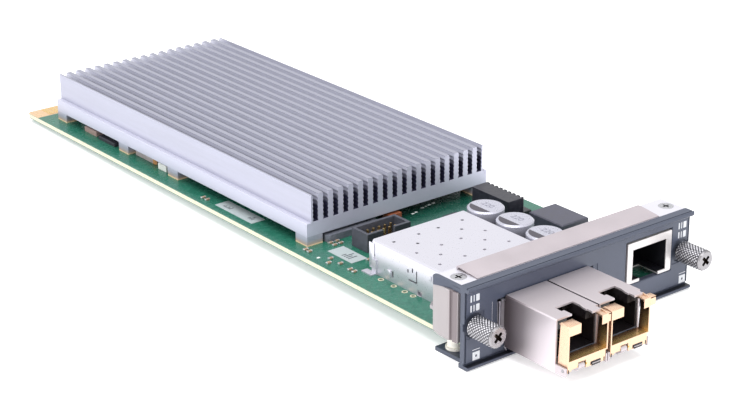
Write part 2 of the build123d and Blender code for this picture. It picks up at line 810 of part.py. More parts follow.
# The knurled thumbscrew: a stepped turning with a cross recess and a captive thread.
def thumbscrew(side):
    x = side * knob_x
    y1 = -knob_gap
    y0 = y1 - knob_len
    knob = rod_y(x, knob_z, y0, y1, knob_r)
    ends = knob.edges().filter_by(GeomType.CIRCLE)
    knob = chamfer(ends, 0.35)
    knob -= rod_y(x, knob_z, y0 + 0.9, y0 + 1.15, knob_r + 1) - rod_y(
        x, knob_z, y0 + 0.8, y0 + 1.25, knob_r - 0.2)
    knob += rod_y(x, knob_z, y1 - 0.5, shaft_len, shaft_r)
    neck_y = panel_web + screw_travel
    knob -= rod_y(x, knob_z, neck_y, neck_y + ring_t, shaft_r + 1) - rod_y(
        x, knob_z, neck_y - 0.1, neck_y + ring_t + 0.1, shaft_r - 0.3)
    relief_y = shaft_len - thread_len - relief_len
    knob -= rod_y(x, knob_z, relief_y, relief_y + relief_len, shaft_r + 1) - rod_y(
        x, knob_z, relief_y - 0.1, relief_y + relief_len + 0.1, shaft_r - 0.2)
    for turn in (0, 90):
        bar = Rot(0, turn + 45, 0) * Box(3.0, 2.4, 0.75)
        knob -= Pos(x, y0, knob_z) * bar
    return knob


def retaining_ring(side):
    x = side * knob_x
    y0 = panel_web + screw_travel + 0.05
    y1 = y0 + ring_t - 0.1
    ring = rod_y(x, knob_z, y0, y1, ring_r)
    ring -= rod_y(x, knob_z, y0 - 1, y1 + 1, shaft_r - 0.3 + 0.05)
    mouth = 0.75
    return ring - block(x - mouth, x + mouth, y0 - 1, y1 + 1, knob_z, knob_z + 4)


# Three can capacitors in a row, each on its moulded foot.
def can_capacitor(i):
    y = can_y + i * can_pitch
    z0 = board_top + can_base_t
    can = rod_z(can_x, y, z0, z0 + can_h, can_r)
    rims = can.edges().filter_by(GeomType.CIRCLE).sort_by(Axis.Z)
    can = chamfer(rims[-1], 0.4)
    waist = rod_z(can_x, y, z0 + 1.2, z0 + 1.7, can_r + 1)
    return can - (waist - rod_z(can_x, y, z0 + 1.1, z0 + 1.8, can_r - 0.3))


def can_base(i):
    y = can_y + i * can_pitch
    half = can_r + 0.1
    cut = 2.0
    outline = [(can_x - half, y - half), (can_x + half, y - half), (can_x + half, y + half - cut),
               (can_x + half - cut, y + half), (can_x - half + cut, y + half),
               (can_x - half, y + half - cut)]
    return prism_z(outline, board_top, board_top + can_base_t)


# A shrouded two-row pin header with a keying notch in its long wall.
def header_shell():
    x0 = header_x - header_w / 2
    y0 = header_y - header_d / 2
    shell = block(x0, x0 + header_w, y0, y0 + header_d, board_top, board_top + header_h)
    shell -= block(x0 + 0.9, x0 + header_w - 0.9, y0 + 0.9, y0 + header_d - 0.9,
                   board_top + 1.6, board_top + header_h + 1)
    shell -= block(header_x - 2.0, header_x + 2.0, y0 - 1, y0 + 1, board_top + 2.6,
                   board_top + header_h + 1)
    for x, y in header_pin_places():
        shell -= block(x - 0.25, x + 0.25, y - 0.25, y + 0.25, 0, board_top + 3)
    return shell


def header_pin_places():
    return [(header_x + (i - 2) * pin_pitch, header_y + s * pin_pitch / 2)
            for i in range(5) for s in (-1, 1)]


def header_pins():
    pins = []
    for x, y in header_pin_places():
        pins.append(block(x - 0.25, x + 0.25, y - 0.25, y + 0.25, board_top,
                          board_top + header_h - 0.9))
    return group(pins)


# The tall power module, with the row of folded leads along one top edge.
def power_module():
    x0 = can_x + can_r + 4.6
    x1 = x0 + 6.0
    y0 = 48.6
    y1 = 64.0
    top = board_top + 8.0
    body = block(x0, x1, y0, y1, board_top, top)
    body = chamfer(body.edges().filter_by(Axis.Z), 0.3)
    for i in range(8):
        y = y0 + 0.9 + i * 1.8
        body -= block(x1 - 0.8, x1 + 1, y, y + 0.8, board_top + 1.2, top + 1)
    return body


def square_converter():
    x1 = board_x1 - 3.6
    body = block(x1 - 10.0, x1, 32.3, 45.6, board_top, board_top + 5.0)
    return chamfer(body.edges().group_by(Axis.Z)[-1], 0.3)


def board_labels():
    x0 = board_x0 + 2.3
    slim = block(x0, x0 + 4.7, 96.5, 114.6, board_top, board_top + 0.1)
    wide = block(x0 + 4.9, x0 + 10.3, 57.3, 67.9, board_top, board_top + 0.1)
    return group([slim, wide])


def small_chips():
    x = board_x0 + 8.4
    places = [(x, 177.9, 7.0, 9.5, 1.1), (x - 0.5, 188.2, 5.0, 7.0, 1.6),
              (x - 0.7, 147.2, 4.4, 4.4, 1.9), (board_x1 - 7.6, 20.0, 6.0, 6.0, 1.0),
              (can_x + 2.6, 62.0, 5.0, 6.2, 1.3)]
    return group(chip(*p) for p in places)


def low_connector():
    # A low mezzanine socket whose end shows under the heat sink's front edge.
    x0 = sink_x0 + 4.6
    y0 = sink_y0 - 1.2
    body = block(x0, x0 + 18.0, y0, y0 + 5.6, board_top, board_top + 1.9)
    body = chamfer(body.edges().filter_by(Axis.Z), 0.9)
    return body - block(x0 + 1.6, x0 + 16.4, y0 + 1.8, y0 + 3.8, board_top + 0.8, board_top + 3)


def tantalum_caps():
    near = header_x + header_w / 2
    right = can_x + can_r + 13.6
    places = [(near + 5.3, 74.6, 4.3, 3.2, 2.1), (near + 3.0, 70.0, 3.0, 1.8, 1.4),
              (right, 54.0, 3.6, 6.4, 2.4)]
    return group(chip(*p) for p in places)


def build():
    os.makedirs("parts", exist_ok=True)
    save(front_panel(), "front_panel")
    save(face_label(), "face_label")
    save(top_rail(), "top_rail")
    save(top_gasket(), "top_gasket")
    save(side_gasket(), "side_gasket")
    save(group(top_screw(s) for s in (-1, 1)), "rail_screws")
    save(group(board_spacer(s) for s in (-1, 1)), "board_spacers")
    front_screw_len = board_top - 0.2
    save(group(pan_screw(spacer_x[s], spacer_y, board_top, front_screw_len, 1) for s in (-1, 1)),
         "board_screws")
    save(main_board(), "main_board")
    save(edge_contact_row(), "edge_contacts")
    save(heatsink(), "heatsink")
    save(foot_pads(), "heatsink_pads")
    save(heatsink_screws(), "heatsink_screws")
    under_sink()
    save(power_choke(), "power_choke")
    save(small_chips(), "small_chips")
    save(tantalum_caps(), "tantalum_capacitors")
    save(low_connector(), "low_connector")
    save(sfp_cage(), "module_cage")
    save(cage_divider(), "cage_divider")
    save(cage_guides(), "cage_guides")
    save(cage_collar(), "cage_collar")
    save(cage_tab(), "cage_ground_tab")
    save(group(host_connector(module_x[n]) for n in module_names), "host_connectors")
    for name in module_names:
        x = module_x[name]
        y0 = head_front + 5.0
        floor_z = head_bottom + shell_t + port_floor
        save(module_shell(x), name + "_module_shell")
        save(module_insert(x), name + "_module_insert")
        save(port_contacts(x, y0, head_front + 0.3 + port_depth, floor_z, wire_rise),
             name + "_module_contacts")
        save(module_board(x), name + "_module_board")
        save(bail(x), name + "_bail")
        save(bail_pin(x), name + "_bail_pin")
    save(jack_shell(), "jack_shell")
    save(jack_insert(), "jack_insert")
    save(port_contacts(jack_cx, jack_front + 5.0, jack_front + 12.8, jack_mouth_z1, -wire_rise),
         "jack_contacts")
    for name, side in (("left", -1), ("right", 1)):
        save(thumbscrew(side), name + "_thumbscrew")
        save(retaining_ring(side), name + "_retaining_ring")
    save(group(can_capacitor(i) for i in range(3)), "can_capacitors")
    save(group(can_base(i) for i in range(3)), "capacitor_bases")
    save(header_shell(), "header_shell")
    save(header_pins(), "header_pins")
    save(power_module(), "power_module")
    save(square_converter(), "square_converter")
    save(board_labels(), "board_labels")


build()
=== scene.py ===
import math
import bmesh
import bpy
from mathutils import Matrix, Vector


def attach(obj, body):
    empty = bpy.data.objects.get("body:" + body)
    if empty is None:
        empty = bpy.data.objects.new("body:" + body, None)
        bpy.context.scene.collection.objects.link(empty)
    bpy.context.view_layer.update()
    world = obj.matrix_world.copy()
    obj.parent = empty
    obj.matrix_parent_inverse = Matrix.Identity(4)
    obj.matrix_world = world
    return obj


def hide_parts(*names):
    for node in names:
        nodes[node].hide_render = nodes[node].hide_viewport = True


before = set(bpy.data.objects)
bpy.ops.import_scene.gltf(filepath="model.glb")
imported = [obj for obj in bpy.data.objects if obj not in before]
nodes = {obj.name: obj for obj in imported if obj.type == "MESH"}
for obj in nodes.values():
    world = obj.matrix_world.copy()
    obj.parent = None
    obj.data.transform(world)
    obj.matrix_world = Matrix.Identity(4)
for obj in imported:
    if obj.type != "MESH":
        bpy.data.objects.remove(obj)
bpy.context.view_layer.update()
mm = 0.001


# Heat sink. One extrusion of pale matte aluminium with toothed slots between its fins and
# milled feet. Its edges are broken by tumbling, so each fin catches a thin line of light.
def surface(name, colour, roughness, metallic=0.0, grain=400.0, stretch=(1.0, 1.0, 1.0),
            tone=0.1, gloss=0.08, relief=0.1):
    # One noise in object coordinates drives the tone, the gloss and the fine relief.
    material = bpy.data.materials.new(name)
    material.use_nodes = True
    tree = material.node_tree
    shader = tree.nodes["Principled BSDF"]
    shader.inputs["Metallic"].default_value = metallic
    place = tree.nodes.new("ShaderNodeTexCoord")
    place.name = "place"
    turn = tree.nodes.new("ShaderNodeMapping")
    turn.inputs["Scale"].default_value = stretch
    noise = tree.nodes.new("ShaderNodeTexNoise")
    noise.name = "grain"
    noise.inputs["Scale"].default_value = grain
    noise.inputs["Detail"].default_value = 6.0
    tree.links.new(place.outputs["Object"], turn.inputs["Vector"])
    tree.links.new(turn.outputs["Vector"], noise.inputs["Vector"])
    ramp = tree.nodes.new("ShaderNodeValToRGB")
    ramp.name = "tone"
    ramp.color_ramp.elements[0].position = 0.3
    ramp.color_ramp.elements[0].color = [c * (1 - tone) for c in colour] + [1]
    ramp.color_ramp.elements[1].position = 0.7
    ramp.color_ramp.elements[1].color = [min(1.0, c * (1 + tone)) for c in colour] + [1]
    tree.links.new(noise.outputs["Fac"], ramp.inputs["Fac"])
    tree.links.new(ramp.outputs["Color"], shader.inputs["Base Color"])
    shine = tree.nodes.new("ShaderNodeMapRange")
    shine.inputs["From Min"].default_value = 0.3
    shine.inputs["From Max"].default_value = 0.7
    shine.inputs["To Min"].default_value = roughness - gloss
    shine.inputs["To Max"].default_value = roughness + gloss
    tree.links.new(noise.outputs["Fac"], shine.inputs["Value"])
    tree.links.new(shine.outputs["Result"], shader.inputs["Roughness"])
    bump = tree.nodes.new("ShaderNodeBump")
    bump.name = "relief"
    bump.inputs["Strength"].default_value = relief
    bump.inputs["Distance"].default_value = 0.05 * mm
    tree.links.new(noise.outputs["Fac"], bump.inputs["Height"])
    tree.links.new(bump.outputs["Normal"], shader.inputs["Normal"])
    return material


def region(material, colour, fade=None, **ranges):
    # Mixes another colour in where the object coordinates lie inside the ranges, in mm.
    tree = material.node_tree
    shader = tree.nodes["Principled BSDF"]
    split = tree.nodes.new("ShaderNodeSeparateXYZ")
    tree.links.new(tree.nodes["place"].outputs["Object"], split.inputs[0])
    masks = []
    for axis, (low, high) in ranges.items():
        near = tree.nodes.new("ShaderNodeMath")
        near.operation = "COMPARE"
        near.inputs[1].default_value = (low + high) / 2 * mm
        near.inputs[2].default_value = (high - low) / 2 * mm
        tree.links.new(split.outputs[axis], near.inputs[0])
        masks.append(near.outputs[0])
    if fade:
        axis, start, end = fade
        slope = tree.nodes.new("ShaderNodeMapRange")
        slope.inputs["From Min"].default_value = start * mm
        slope.inputs["From Max"].default_value = end * mm
        tree.links.new(split.outputs[axis], slope.inputs["Value"])
        masks.append(slope.outputs["Result"])
    mask = masks[0]
    for other in masks[1:]:
        both = tree.nodes.new("ShaderNodeMath")
        both.operation = "MULTIPLY"
        tree.links.new(mask, both.inputs[0])
        tree.links.new(other, both.inputs[1])
        mask = both.outputs[0]
    mix = tree.nodes.new("ShaderNodeMixRGB")
    mix.inputs["Color2"].default_value = list(colour) + [1]
    tree.links.new(mask, mix.inputs["Fac"])
    tree.links.new(shader.inputs["Base Color"].links[0].from_socket, mix.inputs["Color1"])
    tree.links.new(mix.outputs["Color"], shader.inputs["Base Color"])


def paint(piece, material):
    piece.data.materials.clear()
    piece.data.materials.append(material)


def pick(*pieces):
    # Makes these objects the only selected ones, the last one active.
    bpy.ops.object.select_all(action="DESELECT")
    for piece in pieces:
        piece.select_set(True)
    bpy.context.view_layer.objects.active = pieces[-1]


def softened(node, name, body, material, width, angle=40, segments=2):
    # A merged copy of a CAD node with its sharp edges rounded, shown in the node's place.
    pick(nodes[node])
    bpy.ops.object.duplicate()
    piece = bpy.context.object
    piece.name = name
    piece.parent = None
    bpy.ops.object.mode_set(mode="EDIT")
    bpy.ops.mesh.select_all(action="SELECT")
    bpy.ops.mesh.remove_doubles(threshold=0.002 * mm)
    bpy.ops.mesh.normals_make_consistent(inside=False)
    bpy.ops.mesh.tris_convert_to_quads(face_threshold=0.01, shape_threshold=0.3)
    bpy.ops.object.mode_set(mode="OBJECT")
    if piece.data.has_custom_normals:
        bpy.ops.mesh.customdata_custom_splitnormals_clear()
    edge = piece.modifiers.new("edge", "BEVEL")
    edge.width = width
    edge.segments = segments
    edge.limit_method = "ANGLE"
    edge.angle_limit = math.radians(angle)
    edge.harden_normals = True
    bpy.ops.object.shade_smooth_by_angle(angle=math.radians(30))
    bpy.ops.object.modifier_apply(modifier="edge")
    paint(piece, material)
    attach(piece, body)
    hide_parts(node)
    return piece


sink_width = (-34.0, 34.0)
fin_width = (-29.6, 31.2)
fin_length = (73.75, 206.65)
slot_height = (12.5, 20.42)
base_height = (8.55, 12.38)
sink_metal = surface("sink_metal", (0.42, 0.425, 0.515), 0.42, metallic=0.5, grain=260.0,
                     stretch=(3.0, 0.12, 3.0), tone=0.05, gloss=0.05, relief=0.08)
# Painted shade on the fins' tips, a painted highlight on their sides, and painted shade
# deepening toward the bottom of the slots.
region(sink_metal, (0.335, 0.34, 0.415), X=sink_width, Z=(20.46, 20.6))
region(sink_metal, (0.56, 0.565, 0.66), X=fin_width, Y=fin_length, Z=slot_height)
region(sink_metal, (0.05, 0.05, 0.10), fade=("Z", 19.3, 16.8), X=fin_width, Y=fin_length,
       Z=slot_height)
# Painted highlights on the left ledge, the base's left side and the front face, and a
# painted warm reflection on the feet near the board.
region(sink_metal, (0.66, 0.66, 0.76), X=(-31.5, -30.0), Z=(12.38, 12.50))
region(sink_metal, (0.50, 0.505, 0.61), X=(-31.6, -31.3), Z=base_height)
region(sink_metal, (0.56, 0.56, 0.68), X=sink_width, Y=(73.5, 73.72), Z=(8.6, 20.4))
region(sink_metal, (0.62, 0.46, 0.40), fade=("Z", 7.4, 6.2), X=sink_width, Z=(6.1, 7.4))
softened("heatsink", "heat_sink", "card", sink_metal, 0.07 * mm, segments=1)
pad_rubber = surface("pad_rubber", (0.80, 0.58, 0.38), 0.7, grain=900.0)
paint(nodes["heatsink_pads"], pad_rubber)

# Parts under the heat sink. Moulded chips with soft grey pads on them, a grey choke with a
# copper end, a white socket and a low socket; only their rims show in daylight.
chip_black = surface("chip_black", (0.022, 0.022, 0.03), 0.45, grain=1500.0, tone=0.3)
for name in ("processor", "network_chip", "memory_chips"):
    paint(nodes[name], chip_black)
edge_chips = surface("edge_chips", (0.03, 0.03, 0.04), 0.45, grain=1500.0, tone=0.3)
left_rim = (-31.5, -25.5)
white_socket = (144.0, 150.0)
brown_chip = (184.5, 192.0)
region(edge_chips, (0.80, 0.80, 0.78), X=left_rim, Y=white_socket)
region(edge_chips, (0.36, 0.25, 0.23), X=left_rim, Y=brown_chip)
paint(nodes["small_chips"], edge_chips)
soft_pad = surface("soft_pad", (0.34, 0.38, 0.46), 0.8, grain=700.0)
paint(nodes["thermal_pads"], soft_pad)
choke_grey = surface("choke_grey", (0.40, 0.35, 0.35), 0.5, grain=800.0, tone=0.15)
copper_end = (152.0, 153.8)
shaded_rim = (152.0, 152.3)
# Copper end of the choke, with painted shade along its front rim.
region(choke_grey, (0.55, 0.26, 0.10), Y=copper_end)
region(choke_grey, (0.10, 0.05, 0.03), Y=shaded_rim)
paint(nodes["power_choke"], choke_grey)
socket_grey = surface("socket_grey", (0.13, 0.14, 0.17), 0.5, grain=1200.0, tone=0.2)
paint(nodes["low_connector"], socket_grey)


# Circuit board. Green lacquer over copper, so the tracks read as faint raised lines, and
# cream glass fibre where the board is sawn; the contacts at its rear edge are gold.
def tracks(material, pitch, amount):
    # Bands in object coordinates, broken up by a coarse noise, lift the copper tracks.
    tree = material.node_tree
    place = tree.nodes["place"]
    wave = tree.nodes.new("ShaderNodeTexWave")
    wave.bands_direction = "DIAGONAL"
    wave.inputs["Scale"].default_value = math.pi / (10 * pitch * mm)
    wave.inputs["Distortion"].default_value = 0.0
    blots = tree.nodes.new("ShaderNodeTexVoronoi")
    blots.inputs["Scale"].default_value = 180.0
    tree.links.new(place.outputs["Object"], wave.inputs["Vector"])
    tree.links.new(place.outputs["Object"], blots.inputs["Vector"])
    both = tree.nodes.new("ShaderNodeMath")
    both.operation = "MULTIPLY"
    tree.links.new(wave.outputs["Fac"], both.inputs[0])
    tree.links.new(blots.outputs["Distance"], both.inputs[1])
    relief = tree.nodes["relief"]
    relief.inputs["Strength"].default_value = amount
    tree.links.new(both.outputs[0], relief.inputs["Height"])


board_green = surface("board_green", (0.019, 0.130, 0.086), 0.27, grain=500.0, tone=0.10)
tracks(board_green, 0.9, 0.25)
# Painted shade on the lacquer toward the heat sink, the sawn edge, and the strip of gold
# at the rear.
region(board_green, (0.004, 0.045, 0.030), fade=("Y", 58.0, 74.0), X=(-4.0, 33.0),
       Y=(55.0, 210.0))
region(board_green, (0.60, 0.57, 0.43), Z=(4.4, 5.6))
region(board_green, (0.62, 0.42, 0.24), Y=(211.6, 218.5), Z=(5.7, 5.9))
paint(nodes["main_board"], board_green)
module_green = surface("module_green", (0.010, 0.135, 0.075), 0.27, grain=500.0, tone=0.10)
gold = surface("gold", (0.86, 0.60, 0.26), 0.28, metallic=1.0, grain=3000.0, tone=0.05)
for name in ("edge_contacts", "jack_contacts", "left_module_contacts",
             "right_module_contacts", "header_pins"):
    paint(nodes[name], gold)


# Gold rings round the plated holes beside the cage. Each hole's copper wall turns over on
# the board as a flat ring, which is plated with gold.
def settle(piece, name, body, material, angle=30):
    # Fixes the place into the mesh, closes and turns its faces outwards and puts it on a body.
    pick(piece)
    bpy.ops.object.transform_apply(location=True, rotation=True, scale=True)
    bpy.ops.object.mode_set(mode="EDIT")
    bpy.ops.mesh.select_all(action="SELECT")
    bpy.ops.mesh.remove_doubles(threshold=0.001 * mm)
    bpy.ops.mesh.normals_make_consistent(inside=False)
    bpy.ops.object.mode_set(mode="OBJECT")
    bpy.ops.object.shade_smooth_by_angle(angle=math.radians(angle))
    piece.name = name
    paint(piece, material)
    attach(piece, body)


def joined(pieces):
    pick(*pieces)
    bpy.ops.object.join()
    return bpy.context.object


def copied(piece, x, y):
    # A copy with its own mesh, moved by this much in mm.
    pick(piece)
    bpy.ops.object.duplicate()
    bpy.ops.transform.translate(value=(x * mm, y * mm, 0))
    return bpy.context.object


board_top = 5.8
ring_x = -29.3
ring_ys = (31.1, 34.5, 39.0, 44.3)
ring_radius = 0.82
hole_share = 0.64
ring_thickness = 0.05
bpy.ops.object.select_all(action="DESELECT")
bpy.ops.mesh.primitive_circle_add(vertices=28, radius=ring_radius * mm,
                                  location=(ring_x * mm, ring_ys[0] * mm,
                                            (board_top + 0.005) * mm))
ring = bpy.context.object
bpy.ops.object.mode_set(mode="EDIT")
bpy.ops.mesh.extrude_region_move()
bpy.ops.transform.resize(value=(hole_share, hole_share, 1))
bpy.ops.mesh.select_all(action="SELECT")
bpy.ops.mesh.extrude_region_move(
    TRANSFORM_OT_translate={"value": (0, 0, ring_thickness * mm)})
bpy.ops.object.mode_set(mode="OBJECT")
rings = [ring] + [copied(ring, 0, y - ring_ys[0]) for y in ring_ys[1:]]
ring_gold = surface("ring_gold", (0.86, 0.78, 0.58), 0.35, metallic=0.6, grain=3000.0, tone=0.05)
settle(joined(rings), "hole_rings", "card", ring_gold)


# Small chip resistors and capacitors soldered round the header and the labels. Ceramic
# blocks with tinned ends, placed by machine in short rows.
def brick(x0, x1, y0, y1, z0, z1, width, axis=None, segments=2):
    # A block added at its size and place; its edges, or those along one axis, are bevelled.
    bpy.ops.object.select_all(action="DESELECT")
    bpy.ops.mesh.primitive_cube_add(
        size=1, location=((x0 + x1) / 2 * mm, (y0 + y1) / 2 * mm, (z0 + z1) / 2 * mm),
        scale=((x1 - x0) * mm, (y1 - y0) * mm, (z1 - z0) * mm))
    piece = bpy.context.object
    bpy.ops.object.transform_apply(location=False, rotation=False, scale=True)
    bpy.ops.object.mode_set(mode="EDIT")
    bpy.ops.mesh.select_mode(type="EDGE")
    if axis is not None:
        bpy.ops.mesh.select_all(action="DESELECT")
        mesh = bmesh.from_edit_mesh(piece.data)
        for edge in mesh.edges:
            along = edge.verts[1].co - edge.verts[0].co
            edge.select_set(abs(along[axis]) > along.length * 0.9)
        bmesh.update_edit_mesh(piece.data)
    bpy.ops.mesh.bevel(offset=width * mm, segments=segments, affect="EDGES")
    bpy.ops.object.mode_set(mode="OBJECT")
    return piece


ceramic = surface("ceramic", (0.30, 0.22, 0.15), 0.5, grain=1500.0, tone=0.2)
solder = surface("solder", (0.75, 0.75, 0.77), 0.3, metallic=0.9, grain=2500.0, tone=0.06)
core_half = 0.5
core_wide = 0.4
core_top = 6.3
tip = 0.8
tip_wide = 0.42
tip_top = 6.34
core = brick(-core_half, core_half, -core_wide, core_wide, board_top, core_top, 0.05)
ends = [brick(-tip, -core_half, -tip_wide, tip_wide, board_top, tip_top, 0.06),
        brick(core_half, tip, -tip_wide, tip_wide, board_top, tip_top, 0.06)]
places = [(-33.0, 70.5), (-33.0, 72.2), (-25.0, 69.8), (-25.0, 71.6), (-22.9, 69.8),
          (-22.9, 71.6), (-33.4, 119.0), (-33.4, 121.0), (-33.6, 61.2), (-31.4, 58.9),
          (-31.4, 63.2), (-24.0, 56.2), (-31.8, 52.4), (-31.8, 54.2)]
cores = joined([copied(core, x, y) for x, y in places])
caps = joined([copied(end, x, y) for x, y in places for end in ends])
for spare in [core] + ends:
    bpy.data.objects.remove(spare, do_unlink=True)
settle(cores, "chip_parts", "card", ceramic)
settle(caps, "chip_part_ends", "card", solder)

# Ticks on the board beside its parts: a thin coat of white ink printed through a screen,
# only plain bars.
ink = surface("ink", (0.72, 0.76, 0.74), 0.6, grain=2000.0, tone=0.08)
tick_half = 0.35
tick_top = 5.83
ticks = []
for x, y, w in ((5.4, 73.9, 0.9), (6.8, 74.2, 0.9), (10.2, 75.6, 1.1), (11.9, 75.9, 0.6),
                (13.0, 76.1, 1.2), (14.9, 76.4, 1.1), (-21.0, 57.0, 1.4), (-33.9, 66.0, 1.0)):
    ticks.append(brick(x, x + w, y - tick_half, y + tick_half, board_top, tick_top, 0.1, axis=2,
                       segments=1))
settle(joined(ticks), "board_ticks", "card", ink)

# Spacers and screws under the board. The spacers are moulded nylon with a washer collar,
# and the zinc-plated screws hold the board on them and the heat sink on the board.
nylon = surface("nylon", (0.86, 0.83, 0.76), 0.4, grain=600.0)
paint(nodes["board_spacers"], nylon)
zinc = surface("zinc", (0.70, 0.70, 0.73), 0.3, metallic=1.0, grain=3000.0, tone=0.06)
for name in ("board_screws", "heatsink_screws"):
    paint(nodes[name], zinc)


# Module cage. Folded from bright tinned sheet, with rows of vents in the roof and small
# pierced catches and tabs along its sides.
def cut_by(piece, cutters):
    # Takes each cutter's shape out of the piece, and the cutter away.
    for cutter in cutters:
        pick(piece)
        cut = piece.modifiers.new("cut", "BOOLEAN")
        cut.operation = "DIFFERENCE"
        cut.solver = "EXACT"
        cut.object = cutter
        bpy.ops.object.modifier_apply(modifier="cut")
        bpy.data.objects.remove(cutter, do_unlink=True)


cage_tin = surface("cage_tin", (0.66, 0.65, 0.72), 0.30, metallic=0.7, grain=3000.0, tone=0.015,
                   gloss=0.03, relief=0.01)
# The gap between cage and module at the mouth lies in the dark.
region(cage_tin, (0.015, 0.014, 0.018), X=(-28.0, -26.9), Y=(-1.0, 2.5), Z=(6.3, 15.3))
for name in ("cage_divider", "cage_guides", "cage_ground_tab"):
    paint(nodes[name], cage_tin)
collar_tin = surface("collar_tin", (0.60, 0.58, 0.62), 0.35, metallic=0.6, grain=3000.0, tone=0.02)
paint(nodes["cage_collar"], collar_tin)
finger_lean = 28
finger = brick(-25.85, -25.6, -0.35, -0.12, 1.15, 2.75, 0.06)
pick(finger)
bpy.ops.object.mode_set(mode="EDIT")
bpy.ops.mesh.select_all(action="SELECT")
bpy.ops.transform.rotate(value=math.radians(finger_lean), orient_axis="Y",
                         center_override=(-25.7 * mm, 0, 1.95 * mm))
bpy.ops.object.mode_set(mode="OBJECT")
collar_edge = brick(-30.2, -30.1, -0.16, -0.12, 10.9, 15.75, 0.02)
settle(joined([finger, collar_edge]), "collar_finger", "card", collar_tin)
cage = softened("module_cage", "cage_skin", "card", cage_tin, 0.05 * mm)
side_x = -28.1
side_slots = [(29.1, 30.8, 6.0, 7.4), (34.4, 34.9, 10.8, 11.8), (32.6, 33.1, 11.3, 12.6),
              (40.6, 41.1, 7.2, 9.0), (48.2, 49.0, 10.9, 11.3)]
cut_by(cage, [brick(side_x - 1, side_x + 1, y0, y1, z0, z1, 0.12)
              for y0, y1, z0, z1 in side_slots])
tabs = [brick(side_x - 0.3, side_x, 41.5, 42.9, 6.9, 9.1, 0.12),
        brick(side_x - 0.25, side_x, 48.4, 50.5, 7.2, 14.4, 0.1),
        brick(side_x - 0.3, side_x, 29.2, 30.7, 5.82, 6.1, 0.1),
        brick(side_x - 0.25, side_x, 25.3, 25.9, 11.5, 12.9, 0.1)]
settle(joined(tabs), "cage_side_tabs", "card", cage_tin)
paint(nodes["host_connectors"], chip_black)

# Board header. A moulded grey shroud with a keying gap, open at the top, round two rows of
# gold pins; painted shade darkens it inside and on the face toward the cage.
header_grey = surface("header_grey", (0.055, 0.058, 0.075), 0.5, grain=900.0, tone=0.2)
region(header_grey, (0.01, 0.01, 0.015), X=(-20.45, -7.35), Y=(60.85, 65.95), Z=(5.0, 10.9))
region(header_grey, (0.02, 0.02, 0.028), X=(-21.5, -6.0), Y=(59.5, 59.95), Z=(5.0, 11.0))
softened("header_shell", "header_box", "card", header_grey, 0.08 * mm)

# Can capacitors: drawn aluminium cans on black moulded feet. A dark half-moon is printed on
# each lid toward the cage, with a plain value beside it.
can_metal = surface("can_metal", (0.47, 0.47, 0.545), 0.32, metallic=0.45, grain=3000.0, tone=0.04,
                    relief=0.02)
# Painted shade down the cans' sides, deepening toward the board.
region(can_metal, (0.16, 0.15, 0.18), fade=("Z", 15.3, 9.5), Z=(6.7, 15.3))
softened("can_capacitors", "cans", "card", can_metal, 0.12 * mm, segments=3)
paint(nodes["capacitor_bases"], chip_black)
can_ink = surface("can_ink", (0.05, 0.045, 0.06), 0.5, grain=2500.0, tone=0.1)
pale_ink = surface("pale_ink", (0.22, 0.22, 0.27), 0.6, grain=2500.0, tone=0.1)
can_x = 9.3
can_y = 23.4
can_top = 15.8
can_pitch = 11.8
moon_radius = 4.45
moon_edge_x = 7.4
ink_depth = 0.02
bpy.ops.object.select_all(action="DESELECT")
bpy.ops.mesh.primitive_circle_add(vertices=48, radius=moon_radius * mm, fill_type="NGON",
                                  location=(can_x * mm, can_y * mm, can_top * mm))
moon = bpy.context.object
bpy.ops.object.mode_set(mode="EDIT")
bpy.ops.mesh.select_all(action="SELECT")
bpy.ops.mesh.bisect(plane_co=(moon_edge_x * mm, 0, 0), plane_no=(1, 0, 0), clear_outer=True)
bpy.ops.mesh.select_all(action="SELECT")
bpy.ops.mesh.extrude_region_move(TRANSFORM_OT_translate={"value": (0, 0, ink_depth * mm)})
bpy.ops.object.mode_set(mode="OBJECT")
bpy.ops.object.select_all(action="DESELECT")
bpy.ops.object.text_add(location=(can_x * mm, 25.6 * mm, (can_top + 0.01) * mm),
                        rotation=(0, 0, math.radians(-90)))
lettering = bpy.context.object.data
lettering.body = "220"
lettering.size = 2.8 * mm
lettering.extrude = ink_depth * mm
bpy.ops.object.convert(target="MESH")
value = bpy.context.object
moons = [moon] + [copied(moon, 0, y) for y in (can_pitch, 2 * can_pitch)]
values = [value] + [copied(value, 0, y) for y in (can_pitch, 2 * can_pitch)]
settle(joined(moons), "can_moons", "card", can_ink)
settle(joined(values), "can_values", "card", pale_ink)

# Power module, square converter and small tantalum capacitors. All are moulded: dark blocks,
# the tall one with a row of folded leads, and amber or black for the small ones.
block_grey = surface("block_grey", (0.018, 0.018, 0.027), 0.36, grain=900.0, tone=0.2)
softened("power_module", "tall_block", "card", block_grey, 0.1 * mm)
converter_grey = surface("converter_grey", (0.06, 0.06, 0.085), 0.45, grain=900.0, tone=0.2)
softened("square_converter", "flat_block", "card", converter_grey, 0.1 * mm)
amber = surface("amber", (0.24, 0.07, 0.03), 0.4, grain=900.0)
region(amber, (0.02, 0.02, 0.025), X=(12.0, 40.0))
paint(nodes["tantalum_capacitors"], amber)

# Labels stuck flat on the board. Their thin paper is pale with a tint of the board's green,
# and each carries a few plain printed bars.
paper = surface("paper", (0.36, 0.41, 0.42), 0.6, grain=2500.0, tone=0.04)
paint(nodes["board_labels"], paper)
print_grey = surface("print_grey", (0.05, 0.055, 0.07), 0.6, grain=2500.0, tone=0.2)
paper_top = 5.9
print_top = 5.915
blocks = [(-32.6, 109.0, 0.62, 0.32, (1.6, 0.8, 1.3, 0.5, 1.1, 0.7)),
          (-32.4, 98.6, 0.8, 0.36, (1.5, 2.1, 1.2)),
          (-27.8, 60.0, 0.95, 0.4, (3.0, 2.2, 3.4, 1.6))]
bars = []
for left, first, step, thickness, lengths in blocks:
    for i, length in enumerate(lengths):
        y = first + step * i
        bars.append(brick(left, left + length, y, y + thickness, paper_top, print_top, 0.05,
                          axis=2, segments=1))
settle(joined(bars), "label_bars", "card", print_grey)

